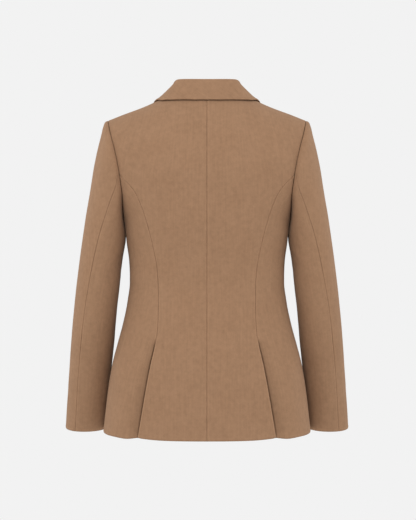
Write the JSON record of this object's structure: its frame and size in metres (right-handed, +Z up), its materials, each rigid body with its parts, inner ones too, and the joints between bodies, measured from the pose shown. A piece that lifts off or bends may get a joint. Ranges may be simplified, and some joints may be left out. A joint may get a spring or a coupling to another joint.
{
  "type": "fitted single-breasted jacket",
  "caption": "Women's fitted blazer, plain camel cloth: turned-down collar, notched lapels, one button, princess seams, two back vents and two-piece sleeves; worn shape, hollow.",
  "frame": {"origin": "middle of the neck opening, level with the two neck points where the shoulder seams start", "axes": "+Z up, -Y out of the garment's front, +X towards the wearer's left; the right front laps over the left one"},
  "size_m": [0.5658, 0.2595, 0.682],
  "materials": {
    "cloth": "soft short-napped wool",
    "horn": "polished imitation horn"
  },
  "bodies": {
    "root": {"back_left": "cloth", "back_right": "cloth", "side_left": "cloth", "side_right": "cloth", "front_left": "cloth", "front_right": "cloth", "lapel_left": "cloth", "lapel_right": "cloth", "upper_sleeve_left": "cloth", "upper_sleeve_right": "cloth", "under_sleeve_left": "cloth", "under_sleeve_right": "cloth", "collar": "cloth", "button": "horn"}
  },
  "joints": []
}
